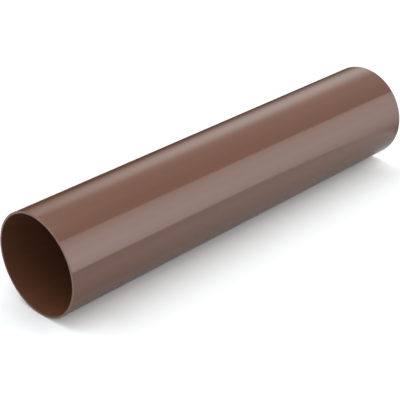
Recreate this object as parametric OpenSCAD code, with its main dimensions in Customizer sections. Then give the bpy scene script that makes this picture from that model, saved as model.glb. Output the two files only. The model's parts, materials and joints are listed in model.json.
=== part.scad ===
// Plastic rainwater downpipe, cut square and plain at both ends.
//
// The pipe lies on its side. Its axis runs along +Y and is centred on Y = 0, and the lowest line of its
// outside wall touches Z = 0, where the origin is.

/* [Pipe] */
// Outside diameter, the size that couplers and wall clips are made to grip
outside_d = 110; // [63:1:160]
// Thickness of the extruded wall
wall = 2.2; // [1.5:0.1:6]
// Length from one cut face to the other
pipe_l = 510; // [200:5:4000]

/* [Cut ends] */
// Bevel on the outside edge of each cut face, which lets the end slide into a coupler
outside_bevel = 0.4; // [0.1:0.05:0.7]
// Bevel on the inside edge of each cut face, which leaves no burr in the water's way
inside_bevel = 0.25; // [0.1:0.05:0.7]

/* [Hidden] */

// Radii of the outside wall and of the bore
outside_r = outside_d / 2;
bore_r = outside_r - wall;

// Sides of the circle in previews
$fn = 180;

// Half section through the wall: X is the distance from the axis and Y the distance along it.
module wall_section() {
    polygon([
        [bore_r, inside_bevel],
        [bore_r + inside_bevel, 0],
        [outside_r - outside_bevel, 0],
        [outside_r, outside_bevel],
        [outside_r, pipe_l - outside_bevel],
        [outside_r - outside_bevel, pipe_l],
        [bore_r + inside_bevel, pipe_l],
        [bore_r, pipe_l - inside_bevel],
    ]);
}

// The whole pipe: one extruded length with an open bore from end to end.
module downpipe() {
    color("#7F5F54")
    translate([0, -pipe_l / 2, outside_r])
    rotate([-90, 0, 0])
    rotate_extrude()
    wall_section();
}

downpipe();
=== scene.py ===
"""Looks of the plastic downpipe.

The object is one length of extruded pipe in brown PVC-U (rigid polyvinyl chloride), sawn square at both
ends, lying on a white studio floor. Everything is in metres, in the part's own frame: the pipe's axis runs
along +Y, and the lowest line of its outside wall touches Z = 0.
"""

from __future__ import annotations

import json
import logging
import math
from dataclasses import dataclass
from enum import Enum
from typing import Any

import bmesh
import bpy
from mathutils import Matrix, Vector

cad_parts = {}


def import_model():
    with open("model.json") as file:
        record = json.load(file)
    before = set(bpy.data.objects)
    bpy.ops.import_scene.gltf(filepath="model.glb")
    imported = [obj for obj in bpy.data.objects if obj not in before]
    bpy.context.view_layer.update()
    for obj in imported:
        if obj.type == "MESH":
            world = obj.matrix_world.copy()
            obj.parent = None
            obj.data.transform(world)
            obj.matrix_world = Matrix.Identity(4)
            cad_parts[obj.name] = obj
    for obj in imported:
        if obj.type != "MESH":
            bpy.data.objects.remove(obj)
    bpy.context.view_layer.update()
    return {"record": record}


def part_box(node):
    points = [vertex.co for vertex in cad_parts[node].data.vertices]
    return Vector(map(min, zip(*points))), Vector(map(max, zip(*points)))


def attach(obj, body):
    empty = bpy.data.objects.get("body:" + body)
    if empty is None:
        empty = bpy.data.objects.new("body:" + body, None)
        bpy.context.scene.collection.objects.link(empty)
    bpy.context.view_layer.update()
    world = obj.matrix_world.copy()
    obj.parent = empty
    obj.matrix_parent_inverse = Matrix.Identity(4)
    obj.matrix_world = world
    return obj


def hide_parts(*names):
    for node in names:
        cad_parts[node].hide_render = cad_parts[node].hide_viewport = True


LOG = logging.getLogger("downpipe")

MM = 0.001
MICRON = 0.000001

# Two places closer together than this are the same place
NEAR = 0.01 * MM
# The values of a noise texture seldom leave this range
NOISE_LOW, NOISE_HIGH = 0.25, 0.75
# A wave texture of scale 1 runs through this many radians in a metre
WAVE_RADIANS = 20.0
# The largest weight that the weighted normals take, which lets the widest faces set the shading alone
FULL_WEIGHT = 100

Colour = tuple[float, float, float, float]


# ---------------------------------------------------------------------------------------------------------
# Helpers for colours, nodes, objects and angles
# ---------------------------------------------------------------------------------------------------------


def linear(hex_code: str) -> Colour:
    """Turns an sRGB hex colour into the linear values that a shader works in.

    Args:
        hex_code: Six hex digits after a #, such as "#7F5D52".

    Returns:
        Red, green and blue in linear light, with an alpha of 1.
    """
    # The sRGB curve is a straight line near black and a power above it
    channels = []
    for start in (1, 3, 5):
        value = int(hex_code[start : start + 2], 16) / 255
        channels.append(value / 12.92 if value <= 0.04045 else ((value + 0.055) / 1.055) ** 2.4)
    return (channels[0], channels[1], channels[2], 1.0)


def add_node(
    tree: bpy.types.NodeTree,
    kind: str,
    settings: dict[str, Any] | None = None,
    inputs: dict[str | int, Any] | None = None,
) -> bpy.types.Node:
    """Adds one node, with its settings, its fixed values and the links that come into it.

    Args:
        tree: The node tree that the node goes into.
        kind: The node's type, such as "ShaderNodeTexNoise".
        settings: Properties of the node, by name.
        inputs: What each input takes, by its name or place: a socket is linked, anything else is a value.

    Returns:
        The new node.
    """
    node = tree.nodes.new(kind)
    for name, value in (settings or {}).items():
        setattr(node, name, value)
    for name, value in (inputs or {}).items():
        if isinstance(value, bpy.types.NodeSocket):
            tree.links.new(value, node.inputs[name])
        else:
            node.inputs[name].default_value = value
    return node


def blank_material(name: str) -> bpy.types.Material:
    """Makes a material with an empty node tree.

    Args:
        name: Name of the finish.

    Returns:
        The material.
    """
    material = bpy.data.materials.new(name)
    material.use_nodes = True
    material.node_tree.nodes.clear()
    return material


def seen_straight(tree: bpy.types.NodeTree, path: bpy.types.Node) -> bpy.types.NodeSocket:
    """Adds the node that tells rays from the camera, straight or through glass, from all others.

    Args:
        tree: The node tree that the node goes into.
        path: The tree's light path node.

    Returns:
        1 for such a ray, and 0 for any other.
    """
    return add_node(
        tree,
        "ShaderNodeMath",
        {"operation": "MAXIMUM"},
        {0: path.outputs["Is Camera Ray"], 1: path.outputs["Is Transmission Ray"]},
    ).outputs[0]


def made_object(shape: bmesh.types.BMesh, name: str) -> bpy.types.Object:
    """Makes an object of the scene out of a finished shape. It sits at the origin.

    Args:
        shape: The shape, which is used up.
        name: Name of the object and of its mesh.

    Returns:
        The object.
    """
    mesh = bpy.data.meshes.new(name)
    shape.to_mesh(mesh)
    shape.free()
    made = bpy.data.objects.new(name, mesh)
    bpy.context.scene.collection.objects.link(made)
    return made


def compass(azimuth: float, elevation: float) -> Vector:
    """Gives the unit vector for a compass direction.

    Args:
        azimuth: Degrees from +Y towards +X.
        elevation: Degrees above the horizon.

    Returns:
        The direction, of length 1.
    """
    turn, rise = math.radians(azimuth), math.radians(elevation)
    return Vector((math.sin(turn) * math.cos(rise), math.cos(turn) * math.cos(rise), math.sin(rise)))


# ---------------------------------------------------------------------------------------------------------
# Finishes
# ---------------------------------------------------------------------------------------------------------


class Surface(Enum):
    """The pipe's three kinds of surface. Each value is the place of its finish in the material list."""

    OUTSIDE = 0
    BORE = 1
    CUT = 2


@dataclass(frozen=True)
class ExtrudedWall:
    """PVC-U as it leaves an extruder: one even brown all through, with faint lines along the pipe.

    The die leaves lines and the pigment leaves streaks that run the whole length, and the wall has a very
    slight orange peel between them. To the eye it is a smooth, deep brown with a clean gloss, whose
    highlights have long straight edges that waver by a hair.
    """

    name: str
    # Colour of the pigmented plastic, between its darkest and its lightest streaks
    dark: str
    light: str
    roughness: float
    # Roughness that the die lines add and take away
    roughness_spread: float
    # Width and depth of the die lines
    line_width: float
    line_depth: float
    # Width and depth of the orange peel
    peel_width: float
    peel_depth: float
    # Width of a pigment streak
    streak_width: float = 9 * MM
    # PVC's refractive index is 1.52 to 1.55
    ior: float = 1.52
    # How many times longer than wide the lines and streaks are
    stretch: float = 400.0

    def material(self) -> bpy.types.Material:
        """Makes the finish as a material.

        Returns:
            The material.
        """
        material = blank_material(self.name)
        tree = material.node_tree
        place = add_node(tree, "ShaderNodeTexCoord").outputs["Object"]
        along = add_node(
            tree, "ShaderNodeMapping", inputs={"Vector": place, "Scale": (1.0, 1.0 / self.stretch, 1.0)}
        ).outputs["Vector"]
        # What each pattern follows, its width, how many finer layers it has, and what share of the strength
        # of the one before each of them has
        lines, streaks, peel = (
            add_node(
                tree,
                "ShaderNodeTexNoise",
                inputs={"Vector": where, "Scale": 1.0 / width, "Detail": layers, "Roughness": share},
            ).outputs[0]
            for where, width, layers, share in (
                (along, self.line_width, 3.0, 0.6),
                (along, self.streak_width, 2.0, 0.5),
                (place, self.peel_width, 2.0, 0.5),
            )
        )
        colour = add_node(
            tree,
            "ShaderNodeMix",
            {"data_type": "RGBA"},
            {"Factor": streaks, "A": linear(self.dark), "B": linear(self.light)},
        )
        roughness = add_node(
            tree,
            "ShaderNodeMapRange",
            inputs={
                "Value": lines,
                "From Min": NOISE_LOW,
                "From Max": NOISE_HIGH,
                "To Min": self.roughness - self.roughness_spread,
                "To Max": self.roughness + self.roughness_spread,
            },
        )
        peel_bump = add_node(tree, "ShaderNodeBump", inputs={"Distance": self.peel_depth, "Height": peel})
        line_bump = add_node(
            tree,
            "ShaderNodeBump",
            inputs={"Distance": self.line_depth, "Height": lines, "Normal": peel_bump.outputs["Normal"]},
        )
        shader = add_node(
            tree,
            "ShaderNodeBsdfPrincipled",
            inputs={
                "Base Color": colour.outputs["Result"],
                "Roughness": roughness.outputs["Result"],
                "IOR": self.ior,
                "Normal": line_bump.outputs["Normal"],
            },
        )
        add_node(tree, "ShaderNodeOutputMaterial", inputs={"Surface": shader.outputs["BSDF"]})
        return material


@dataclass(frozen=True)
class SawnFace:
    """PVC-U cut through with a fine-toothed mitre saw.

    The teeth scratch the plastic in arcs as wide as the blade, which scatters the light: to the eye the cut
    is a paler, drier brown than the polished wall, with a faint curved grain. Its colours are drawn paler
    still, as painted light for the light that catches the rim.
    """

    name: str = "pvc_u_sawn_face"
    scratched: str = "#82604F"
    bright: str = "#A67B69"
    roughness: float = 0.42
    ior: float = 1.52
    # How far from the pipe's axis the saw's spindle is when the blade has just cut through, and which way
    spindle_reach: float = 190 * MM
    spindle_way: tuple[float, float, float] = (-0.6, 0.0, 0.8)
    # A 96-tooth blade leaves a mark each 0.1 mm or so. It is drawn every 0.6 mm, so that it can be seen.
    mark_pitch: float = 0.6 * MM
    mark_depth: float = 25 * MICRON
    # How much the marks waver
    mark_waver: float = 1.5
    # Width of the uneven patches, where the blade chattered, and their depth as a share of the marks' depth
    patch_width: float = 4 * MM
    patch_depth: float = 0.6
    # How many finer layers the patches have, and what share of the strength of the one before each has
    patch_layers: float = 4.0
    patch_share: float = 0.6

    def material(self, axis_height: float) -> bpy.types.Material:
        """Makes the finish as a material.

        Args:
            axis_height: Height of the pipe's axis above the floor.

        Returns:
            The material.
        """
        material = blank_material(self.name)
        tree = material.node_tree
        place = add_node(tree, "ShaderNodeTexCoord").outputs["Object"]
        # The marks are rings round the spindle, which stands above and to one side of the pipe
        spindle = Vector(self.spindle_way) * self.spindle_reach + Vector((0.0, 0.0, axis_height))
        from_spindle = add_node(
            tree,
            "ShaderNodeMapping",
            inputs={"Vector": place, "Location": -spindle, "Scale": (1.0, 0.0, 1.0)},
        ).outputs["Vector"]
        marks = add_node(
            tree,
            "ShaderNodeTexWave",
            {"wave_type": "RINGS", "rings_direction": "SPHERICAL"},
            {
                "Vector": from_spindle,
                "Scale": math.tau / WAVE_RADIANS / self.mark_pitch,
                "Distortion": self.mark_waver,
            },
        ).outputs[0]
        patches = add_node(
            tree,
            "ShaderNodeTexNoise",
            inputs={
                "Vector": place,
                "Scale": 1.0 / self.patch_width,
                "Detail": self.patch_layers,
                "Roughness": self.patch_share,
            },
        ).outputs[0]
        colour = add_node(
            tree,
            "ShaderNodeMix",
            {"data_type": "RGBA"},
            {"Factor": patches, "A": linear(self.scratched), "B": linear(self.bright)},
        )
        height = add_node(
            tree,
            "ShaderNodeMath",
            {"operation": "MULTIPLY_ADD"},
            {0: patches, 1: self.patch_depth, 2: marks},
        ).outputs[0]
        bump = add_node(tree, "ShaderNodeBump", inputs={"Distance": self.mark_depth, "Height": height})
        shader = add_node(
            tree,
            "ShaderNodeBsdfPrincipled",
            inputs={
                "Base Color": colour.outputs["Result"],
                "Roughness": self.roughness,
                "IOR": self.ior,
                "Normal": bump.outputs["Normal"],
            },
        )
        add_node(tree, "ShaderNodeOutputMaterial", inputs={"Surface": shader.outputs["BSDF"]})
        return material


# The outside is drawn through a polished sizing sleeve while it is soft, so it takes the clearer gloss.
# Its die lines are about 0.5 mm wide, and are drawn as 3 mm so that they can be seen.
SIZED_OUTSIDE = ExtrudedWall(
    name="pvc_u_sized_outside",
    dark="#704631",
    light="#81523B",
    roughness=0.10,
    roughness_spread=0.02,
    line_width=3 * MM,
    line_depth=4 * MICRON,
    peel_width=14 * MM,
    peel_depth=8 * MICRON,
)

# The bore cools against nothing but air, which leaves it a little duller and more rippled. Its brown is
# drawn a little lighter than the outside's: painted light that stands in for light the bore's inside lacks.
FREE_BORE = ExtrudedWall(
    name="pvc_u_free_bore",
    dark="#784F38",
    light="#8A5B42",
    roughness=0.35,
    roughness_spread=0.015,
    line_width=4 * MM,
    line_depth=3 * MICRON,
    peel_width=11 * MM,
    peel_depth=20 * MICRON,
)


# ---------------------------------------------------------------------------------------------------------
# The pipe
# ---------------------------------------------------------------------------------------------------------


@dataclass
class Downpipe:
    """The length of pipe: one tube with a rounded edge on both sides of each cut."""

    outside_radius: float
    bore_radius: float
    length: float
    # Rounding of each cut's outer and inner edge
    outer_edge: float = 0.4 * MM
    inner_edge: float = 0.25 * MM
    edge_steps: int = 3
    # Sides of the circle, and rings of faces along each wall
    sides: int = 360
    rings: int = 30
    # A face that is turned this far towards the pipe's ends was left by the saw
    sawn_turn: float = 0.2

    @classmethod
    def from_frame(cls, record: dict[str, Any]) -> Downpipe:
        """Reads the pipe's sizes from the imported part.

        Args:
            record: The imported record, whose mounts give the bore.

        Returns:
            A pipe of those sizes.
        """
        lowest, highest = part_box("downpipe")
        bore = next(mount for mount in record["mounts"] if mount["name"] == "bore")
        return cls(
            outside_radius=(highest.z - lowest.z) / 2,
            bore_radius=bore["dims"]["r_mm"] * MM,
            length=highest.y - lowest.y,
        )

    def build(self) -> bpy.types.Object:
        """Builds the pipe's mesh and dresses it.

        Returns:
            The finished object, at the origin, with its place in its mesh.
        """
        shape = bmesh.new()
        self._spin_wall(shape)
        self._round_edges(shape, self.outside_radius, self.outer_edge)
        self._round_edges(shape, self.bore_radius, self.inner_edge)
        self._share_out_finishes(shape)
        pipe = made_object(shape, "downpipe_wall")
        finishes = {
            Surface.OUTSIDE: SIZED_OUTSIDE.material(),
            Surface.BORE: FREE_BORE.material(),
            Surface.CUT: SawnFace().material(self.outside_radius),
        }
        for surface in Surface:
            pipe.data.materials.append(finishes[surface])
        # The narrow edge roundings don't bend the shading of the flat cuts and the straight walls
        pipe.modifiers.new("even_shading", "WEIGHTED_NORMAL").weight = FULL_WEIGHT
        LOG.info("%s: %d faces, %.0f mm long", pipe.name, len(pipe.data.polygons), self.length / MM)
        return pipe

    def _spin_wall(self, shape: bmesh.types.BMesh) -> None:
        """Spins the wall's section, a long thin oblong, round the pipe's axis.

        Args:
            shape: The mesh being built.
        """
        ends = (-self.length / 2, self.length / 2)
        axis_height = self.outside_radius
        heights = (axis_height + self.bore_radius, axis_height + self.outside_radius)
        corners = [
            shape.verts.new((0.0, ends[along], heights[out]))
            for along, out in ((0, 0), (0, 1), (1, 1), (1, 0))
        ]
        walls = []
        for start, stop in zip(corners, corners[1:] + corners[:1]):
            edge = shape.edges.new((start, stop))
            if start.co.z == stop.co.z:
                walls.append(edge)
        bmesh.ops.subdivide_edges(shape, edges=walls, cuts=self.rings - 1)
        bmesh.ops.spin(
            shape,
            geom=shape.verts[:] + shape.edges[:],
            cent=(0.0, 0.0, axis_height),
            axis=(0.0, 1.0, 0.0),
            angle=math.tau,
            steps=self.sides,
            use_merge=True,
        )
        bmesh.ops.recalc_face_normals(shape, faces=shape.faces[:])

    def _radius_at(self, point: Vector) -> float:
        """Gives a point's distance from the pipe's axis."""
        return math.hypot(point.x, point.z - self.outside_radius)

    def _round_edges(self, shape: bmesh.types.BMesh, radius: float, size: float) -> None:
        """Rounds the edge where a wall meets the cuts, at both ends of the pipe.

        Args:
            shape: The mesh being built.
            radius: Distance of that edge from the axis.
            size: How far the rounding reaches from the edge.
        """
        rims = [
            edge
            for edge in shape.edges
            if all(
                abs(abs(corner.co.y) - self.length / 2) < NEAR
                and abs(self._radius_at(corner.co) - radius) < NEAR
                for corner in edge.verts
            )
        ]
        bmesh.ops.bevel(
            shape,
            geom=rims,
            offset=size,
            offset_type="OFFSET",
            segments=self.edge_steps,
            profile=0.5,
            affect="EDGES",
            material=-1,
        )

    def _share_out_finishes(self, shape: bmesh.types.BMesh) -> None:
        """Gives each face the finish of its kind of surface, and smooth shading.

        Args:
            shape: The mesh being built.
        """
        between = (self.outside_radius + self.bore_radius) / 2
        for face in shape.faces:
            face.smooth = True
            if abs(face.normal.y) > self.sawn_turn:
                surface = Surface.CUT
            elif self._radius_at(face.calc_center_median()) > between:
                surface = Surface.OUTSIDE
            else:
                surface = Surface.BORE
            face.material_index = surface.value


# ---------------------------------------------------------------------------------------------------------
# The studio: soft boxes, floor and camera
# ---------------------------------------------------------------------------------------------------------


@dataclass(frozen=True)
class SoftBox:
    """A distant rectangular light, such as a window of diffuser cloth, seen in one direction of the room.

    The cloth is brightest where its lamp is behind it, and dimmer away from that hot spot.
    """

    azimuth: float
    elevation: float
    # Half of its width and height, and the depth of its soft edge, for a box 1 m away
    half_width: float
    half_height: float
    edge: float
    # Radiance of its hot spot, as it lights the pipe and the floor, and as the pipe's gloss shows it
    light: float
    shine: float
    # Degrees that it leans
    lean: float = 0.0
    # Where its hot spot is, towards its right and its top, and how far that spreads
    hot_x: float = 0.0
    hot_y: float = 0.0
    hot_radius: float = 1.5
    # Colour of its cloth
    cloth: str = "#FFFFFF"

    def radiance(
        self, tree: bpy.types.NodeTree, direction: bpy.types.NodeSocket, glossy: bpy.types.NodeSocket
    ) -> bpy.types.NodeSocket:
        """Adds the nodes that say how bright this light is in a direction.

        Args:
            tree: The world's node tree.
            direction: The direction that is looked in.
            glossy: 1 for a ray that shows in the pipe's gloss, and 0 for any other.

        Returns:
            The radiance that the light gives there.
        """
        ahead_way = compass(self.azimuth, self.elevation)
        across_way = compass(self.azimuth + 90.0, 0.0)
        across_way.rotate(Matrix.Rotation(math.radians(self.lean), 3, ahead_way))
        above_way = across_way.cross(ahead_way)
        ahead, across, above = (
            add_node(
                tree, "ShaderNodeVectorMath", {"operation": "DOT_PRODUCT"}, {0: direction, 1: way}
            ).outputs["Value"]
            for way in (ahead_way, across_way, above_way)
        )
        # Where the direction meets the cloth, from the box's middle
        sideways = add_node(tree, "ShaderNodeCombineXYZ", inputs={"X": across, "Y": above})
        place = add_node(
            tree, "ShaderNodeVectorMath", {"operation": "DIVIDE"}, {0: sideways.outputs[0], 1: ahead}
        ).outputs[0]
        from_hot = add_node(
            tree,
            "ShaderNodeVectorMath",
            {"operation": "DISTANCE"},
            {0: place, 1: (self.hot_x, self.hot_y, 0.0)},
        ).outputs["Value"]
        squared = add_node(tree, "ShaderNodeMath", {"operation": "POWER"}, {0: from_hot, 1: 2.0})
        # At the hot spot's radius the light is down to 1 / e
        per_square_metre = math.exp(-1.0 / self.hot_radius**2)
        fall = add_node(
            tree, "ShaderNodeMath", {"operation": "POWER"}, {0: per_square_metre, 1: squared.outputs[0]}
        )
        strength = add_node(
            tree,
            "ShaderNodeMath",
            {"operation": "MULTIPLY_ADD"},
            {0: glossy, 1: self.shine - self.light, 2: self.light},
        )
        in_front = add_node(tree, "ShaderNodeMath", {"operation": "GREATER_THAN"}, {0: ahead, 1: 0.0})
        off_middle = add_node(tree, "ShaderNodeVectorMath", {"operation": "ABSOLUTE"}, {0: place})
        reaches = add_node(tree, "ShaderNodeSeparateXYZ", inputs={0: off_middle.outputs[0]})
        within = [
            add_node(
                tree,
                "ShaderNodeMapRange",
                {"interpolation_type": "SMOOTHSTEP"},
                {
                    "Value": reaches.outputs[axis],
                    "From Min": half + self.edge / 2,
                    "From Max": half - self.edge / 2,
                },
            )
            for axis, half in (("X", self.half_width), ("Y", self.half_height))
        ]
        light = strength.outputs[0]
        for factor in (fall, in_front, *within):
            light = add_node(
                tree, "ShaderNodeMath", {"operation": "MULTIPLY"}, {0: light, 1: factor.outputs[0]}
            ).outputs[0]
        colour = linear(self.cloth)[:3]
        return add_node(
            tree, "ShaderNodeVectorMath", {"operation": "SCALE"}, {0: colour, "Scale": light}
        ).outputs[0]


@dataclass(frozen=True)
class Studio:
    """The room round the pipe: its soft boxes and its walls, which are dark below and white above."""

    boxes: tuple[SoftBox, ...]
    # Light that the walls give, and how bright the pipe's gloss shows them
    fill: float = 0.5
    white: float = 0.91
    dark: float = 0.06
    # Degrees above the horizon where the dark ends and where the white begins
    dark_top: float = 1.4
    white_foot: float = 43.0

    def build(self) -> None:
        """Makes the world's shader."""
        world = bpy.data.worlds.new("studio")
        world.use_nodes = True
        bpy.context.scene.world = world
        tree = world.node_tree
        tree.nodes.clear()
        direction = add_node(tree, "ShaderNodeTexCoord").outputs["Generated"]
        height = add_node(tree, "ShaderNodeSeparateXYZ", inputs={"Vector": direction}).outputs["Z"]
        walls = add_node(
            tree,
            "ShaderNodeMapRange",
            {"interpolation_type": "SMOOTHSTEP"},
            {
                "Value": add_node(tree, "ShaderNodeMath", {"operation": "ARCSINE"}, {0: height}).outputs[0],
                "From Min": math.radians(self.dark_top),
                "From Max": math.radians(self.white_foot),
                "To Min": self.dark,
                "To Max": self.white,
            },
        )
        path = add_node(tree, "ShaderNodeLightPath")
        total = add_node(
            tree,
            "ShaderNodeMix",
            inputs={"Factor": path.outputs["Is Glossy Ray"], 2: self.fill, 3: walls.outputs["Result"]},
        ).outputs[0]
        for box in self.boxes:
            light = box.radiance(tree, direction, path.outputs["Is Glossy Ray"])
            total = add_node(
                tree, "ShaderNodeVectorMath", {"operation": "ADD"}, {0: total, 1: light}
            ).outputs[0]
        room = add_node(tree, "ShaderNodeBackground", inputs={"Color": total})
        backdrop = add_node(tree, "ShaderNodeBackground", inputs={"Color": linear("#FFFFFF")})
        mix = add_node(
            tree,
            "ShaderNodeMixShader",
            inputs={0: seen_straight(tree, path), 1: room.outputs[0], 2: backdrop.outputs[0]},
        )
        add_node(tree, "ShaderNodeOutputWorld", inputs={"Surface": mix.outputs[0]})
        LOG.info("studio: %d soft boxes", len(self.boxes))


@dataclass(frozen=True)
class Tone:
    """How strongly the floor's paper is toned, by distance from a line or a point on it, which paints light
    and shade on the floor.
    """

    # Distance and strength at each knee. Between them the strength follows straight lines.
    knees: tuple[tuple[float, float], ...]

    def strength(self, tree: bpy.types.NodeTree, distance: bpy.types.NodeSocket) -> bpy.types.NodeSocket:
        """Adds the nodes that give the strength at a distance.

        Args:
            tree: The floor material's node tree.
            distance: The distance from that line or point.

        Returns:
            The strength there.
        """
        total: Any = self.knees[0][1]
        for (start, low), (stop, high) in zip(self.knees, self.knees[1:]):
            step = add_node(
                tree,
                "ShaderNodeMapRange",
                inputs={"Value": distance, "From Min": start, "From Max": stop, "To Max": high - low},
            )
            total = add_node(
                tree, "ShaderNodeMath", {"operation": "ADD"}, {0: step.outputs["Result"], 1: total}
            ).outputs[0]
        return total


@dataclass(frozen=True)
class Patch:
    """A round patch of the floor whose paper is toned more or less strongly than the rest: painted light
    where it is stronger, painted shade where it is weaker.
    """

    centre: tuple[float, float, float]
    # What the strength is multiplied by, by distance from the centre
    tone: Tone

    def laid(
        self, tree: bpy.types.NodeTree, place: bpy.types.NodeSocket, strength: bpy.types.NodeSocket
    ) -> bpy.types.NodeSocket:
        """Adds the nodes that lay the patch over the rest of the floor.

        Args:
            tree: The floor material's node tree.
            place: The place on the floor.
            strength: The strength there without the patch.

        Returns:
            The strength there with the patch.
        """
        away = add_node(
            tree, "ShaderNodeVectorMath", {"operation": "DISTANCE"}, {0: place, 1: self.centre}
        ).outputs["Value"]
        return add_node(
            tree,
            "ShaderNodeMath",
            {"operation": "MULTIPLY"},
            {0: strength, 1: self.tone.strength(tree, away)},
        ).outputs[0]


@dataclass(frozen=True)
class Floor:
    """The floor of white paper. Its shine in the pipe is an oval sheet, past which the room shows again. Its
    paper is toned by distance from the pipe and in patches, which paints shade and light into the pipe's
    shadow on it.
    """

    pipe_length: float
    radius: float = 12.0
    sides: int = 96
    paper: str = "#EFF3F4"
    # How many times brighter than lit paper the floor is drawn, by distance from the line that the pipe rests
    # on. Away from the pipe that makes it just white. Near it, this paints the pipe's shadow: darker right at
    # that line, painted shade, and lighter over the shadow's outer part, painted light.
    seen: Tone = Tone(
        ((0.0, 0.9), (0.022, 1.26), (0.033, 1.5), (0.0495, 1.41), (0.0715, 1.4), (0.088, 1.345), (0.176, 1.2))
    )
    # The same for the floor as the pipe's gloss shows it: darker near the pipe, a painted shadow in the
    # reflection that is deeper than the lit one
    shine: Tone = Tone(((0.022, 1.1), (0.121, 1.66)))
    # And for the floor as it lights the pipe from below: drawn darker near the pipe, painted shade that keeps
    # the pipe's underside deep
    underlight: Tone = Tone(((0.022, 0.15), (0.121, 0.52)))
    # For the seen floor, how far inside each end of the pipe that line stops, so that the floor is drawn
    # lighter round the pipe's ends: painted light that tightens the shadow there
    line_inset: float = 0.0275
    # Painted light: patches where the seen floor is drawn stronger than that, beside the pipe's ends, so that
    # the shadow there ends sooner
    seen_painted_light_patches: tuple[Patch, ...] = (
        Patch((0.0605, -0.2495, 0.0), Tone(((0.0, 1.2), (0.044, 1.0)))),
        Patch((0.0375, 0.2462, 0.0), Tone(((0.0, 1.38), (0.0315, 1.0)))),
    )
    # Painted shade: patches where the floor in the gloss is drawn weaker than that, round the far end, most
    # of all just past it
    shine_painted_shade_patches: tuple[Patch, ...] = (
        Patch((0.055, 0.2814, 0.0), Tone(((0.0, 0.82), (0.044, 1.0)))),
        Patch((0.1, 0.25, 0.0), Tone(((0.0, 0.93), (0.16, 1.0)))),
    )
    # Share of white that even its deepest shadow shows
    glow: float = 0.125
    # Centre and half axes of the sheet that the gloss shows, of which the upright one counts for nothing, and
    # the depth of its edge as a share of them
    sheet_centre: tuple[float, float, float] = (0.1375, -0.38, 0.0)
    sheet_reach: tuple[float, float, float] = (0.46, 0.70, 1.0)
    sheet_edge: float = 0.05

    def build(self) -> None:
        """Makes the floor."""
        shape = bmesh.new()
        bmesh.ops.create_circle(shape, cap_ends=True, radius=self.radius, segments=self.sides)
        floor = made_object(shape, "floor")
        floor.data.materials.append(self._material())
        LOG.info("floor: %.0f m across", 2 * self.radius)

    def _distance(
        self, tree: bpy.types.NodeTree, place: bpy.types.NodeSocket, inset: float
    ) -> bpy.types.NodeSocket:
        """Adds the nodes that measure how far a place on the floor is from the line the pipe rests on.

        Args:
            tree: The material's node tree.
            place: The place on the floor.
            inset: How far inside each end of the pipe the line stops.

        Returns:
            The distance.
        """
        reach = Vector((0.0, self.pipe_length / 2 - inset, 0.0))
        on_line = add_node(
            tree, "ShaderNodeVectorMath", {"operation": "MINIMUM"}, {0: place, 1: reach}
        ).outputs[0]
        on_line = add_node(
            tree, "ShaderNodeVectorMath", {"operation": "MAXIMUM"}, {0: on_line, 1: -reach}
        ).outputs[0]
        return add_node(
            tree, "ShaderNodeVectorMath", {"operation": "DISTANCE"}, {0: place, 1: on_line}
        ).outputs["Value"]

    def _toned_paper(
        self, tree: bpy.types.NodeTree, strength: bpy.types.NodeSocket
    ) -> bpy.types.NodeSocket:
        """Adds the paper, drawn a number of times as bright as lit paper.

        Args:
            tree: The material's node tree.
            strength: That number.

        Returns:
            The paper's shader.
        """
        colour = add_node(
            tree,
            "ShaderNodeVectorMath",
            {"operation": "SCALE"},
            {0: linear(self.paper)[:3], "Scale": strength},
        )
        return add_node(tree, "ShaderNodeBsdfDiffuse", inputs={"Color": colour.outputs[0]}).outputs[0]

    def _seen_floor(self, tree: bpy.types.NodeTree, place: bpy.types.NodeSocket) -> bpy.types.NodeSocket:
        """Adds the floor as it is seen straight, with its painted shadow and its patches of painted light.

        Args:
            tree: The material's node tree.
            place: The place on the floor.

        Returns:
            The shader.
        """
        strength = self.seen.strength(tree, self._distance(tree, place, self.line_inset))
        for patch in self.seen_painted_light_patches:
            strength = patch.laid(tree, place, strength)
        glow = add_node(tree, "ShaderNodeEmission", inputs={"Strength": self.glow}).outputs[0]
        return add_node(
            tree, "ShaderNodeAddShader", inputs={0: self._toned_paper(tree, strength), 1: glow}
        ).outputs[0]

    def _shining_floor(
        self, tree: bpy.types.NodeTree, place: bpy.types.NodeSocket, distance: bpy.types.NodeSocket
    ) -> bpy.types.NodeSocket:
        """Adds the floor as the pipe's gloss shows it: the sheet, toned darker near the pipe and round the
        far end as painted shade, and nothing past it.

        Args:
            tree: The material's node tree.
            place: The place on the floor.
            distance: How far that is from the line that the pipe rests on.

        Returns:
            The shader.
        """
        strength = self.shine.strength(tree, distance)
        for patch in self.shine_painted_shade_patches:
            strength = patch.laid(tree, place, strength)
        from_centre = add_node(
            tree, "ShaderNodeVectorMath", {"operation": "SUBTRACT"}, {0: place, 1: self.sheet_centre}
        )
        in_reaches = add_node(
            tree,
            "ShaderNodeVectorMath",
            {"operation": "DIVIDE"},
            {0: from_centre.outputs[0], 1: self.sheet_reach},
        )
        away = add_node(tree, "ShaderNodeVectorMath", {"operation": "LENGTH"}, {0: in_reaches.outputs[0]})
        off_sheet = add_node(
            tree,
            "ShaderNodeMapRange",
            {"interpolation_type": "SMOOTHSTEP"},
            {
                "Value": away.outputs["Value"],
                "From Min": 1.0 - self.sheet_edge / 2,
                "From Max": 1.0 + self.sheet_edge / 2,
            },
        )
        nothing = add_node(tree, "ShaderNodeBsdfTransparent")
        return add_node(
            tree,
            "ShaderNodeMixShader",
            inputs={
                0: off_sheet.outputs["Result"],
                1: self._toned_paper(tree, strength),
                2: nothing.outputs[0],
            },
        ).outputs[0]

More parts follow.
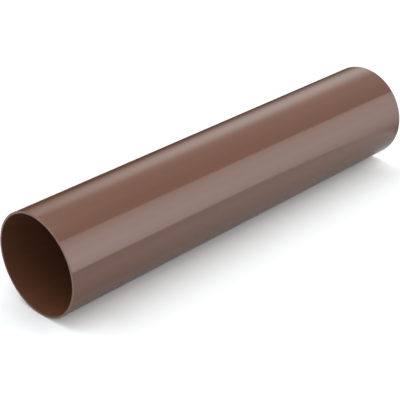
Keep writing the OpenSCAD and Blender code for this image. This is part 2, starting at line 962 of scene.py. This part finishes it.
    def _material(self) -> bpy.types.Material:
        """Makes the floor's material.

        Returns:
            The material.
        """
        material = blank_material("white_paper")
        tree = material.node_tree
        place = add_node(tree, "ShaderNodeTexCoord").outputs["Object"]
        distance = self._distance(tree, place, 0.0)
        path = add_node(tree, "ShaderNodeLightPath")
        pipe_side = add_node(
            tree,
            "ShaderNodeMixShader",
            inputs={
                0: path.outputs["Is Glossy Ray"],
                1: self._toned_paper(tree, self.underlight.strength(tree, distance)),
                2: self._shining_floor(tree, place, distance),
            },
        )
        mix = add_node(
            tree,
            "ShaderNodeMixShader",
            inputs={
                0: seen_straight(tree, path),
                1: pipe_side.outputs[0],
                2: self._seen_floor(tree, place),
            },
        )
        add_node(tree, "ShaderNodeOutputMaterial", inputs={"Surface": mix.outputs[0]})
        return material


@dataclass(frozen=True)
class Camera:
    """The camera: a long lens above the viewer's side of the pipe, past its near end."""

    # Degrees round the pipe, from past its near end towards +X, and degrees above the floor
    azimuth: float = 44.12
    elevation: float = 28.075
    # How far it is from the point that it looks at, and where that point is
    distance: float = 1.3145
    target: tuple[float, float, float] = (-0.0299, 0.0, 0.0168)
    # Focal length of its lens and width of its sensor, in millimetres
    lens: float = 105.77
    sensor: float = 36.0

    def build(self) -> None:
        """Makes the camera and makes it the scene's own."""
        back = compass(180.0 - self.azimuth, self.elevation)
        data = bpy.data.cameras.new("camera")
        data.lens = self.lens
        data.sensor_width = self.sensor
        camera = bpy.data.objects.new("camera", data)
        camera.location = Vector(self.target) + back * self.distance
        camera.rotation_euler = (-back).to_track_quat("-Z", "Y").to_euler()
        bpy.context.scene.collection.objects.link(camera)
        bpy.context.scene.camera = camera
        LOG.info("camera: %.1f mm lens, %.2f m away", self.lens, self.distance)


# A tall box stands beyond the pipe's far end on the viewer's side, whose straight edge the wall shows as a
# crisp line, and a lower one is behind the pipe. Both are gridded, so that they light the pipe less than they
# shine in it. The next two hang overhead and do most of the lighting. The last two are copper-coloured
# reflectors in line with the pipe, one past each end, which only shine, warmly, down the bore.
COPPER = "#FFC4A6"
SOFT_BOXES = (
    SoftBox(
        azimuth=48.0,
        elevation=6.0,
        lean=27.0,
        half_width=0.493,
        half_height=1.0,
        edge=0.06,
        light=1.0,
        shine=3.85,
        hot_x=0.33,
        hot_y=0.28,
        hot_radius=0.83,
    ),
    SoftBox(
        azimuth=-22.1,
        elevation=8.5,
        lean=29.0,
        half_width=1.2,
        half_height=0.43,
        edge=0.29,
        light=0.27,
        shine=1.24,
        hot_x=-0.44,
        hot_y=0.12,
        hot_radius=0.33,
    ),
    SoftBox(-90.0, 58.0, half_width=0.36, half_height=0.30, edge=0.2, light=1.19, shine=1.19),
    SoftBox(0.0, 89.0, half_width=0.6, half_height=0.6, edge=0.3, light=0.81, shine=0.81),
    SoftBox(0.0, 0.0, half_width=0.26, half_height=0.26, edge=0.2, light=0.0, shine=0.36, cloth=COPPER),
    SoftBox(180.0, 0.0, half_width=0.26, half_height=0.26, edge=0.2, light=0.0, shine=0.36, cloth=COPPER),
)


def corners(box: tuple[Vector, Vector]) -> list[list[float]]:
    """Gives a box's two corners as plain lists of numbers."""
    return [list(corner) for corner in box]


def main() -> None:
    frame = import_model()
    bpy.context.scene.view_settings.view_transform = "Standard"
    Camera().build()
    downpipe = Downpipe.from_frame(frame["record"])
    pipe = downpipe.build()
    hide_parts("downpipe")
    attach(pipe, "root")
    Floor(downpipe.length).build()
    Studio(SOFT_BOXES).build()


if __name__ == "__main__":
    logging.basicConfig(level=logging.INFO, format="%(name)s: %(message)s")
    main()
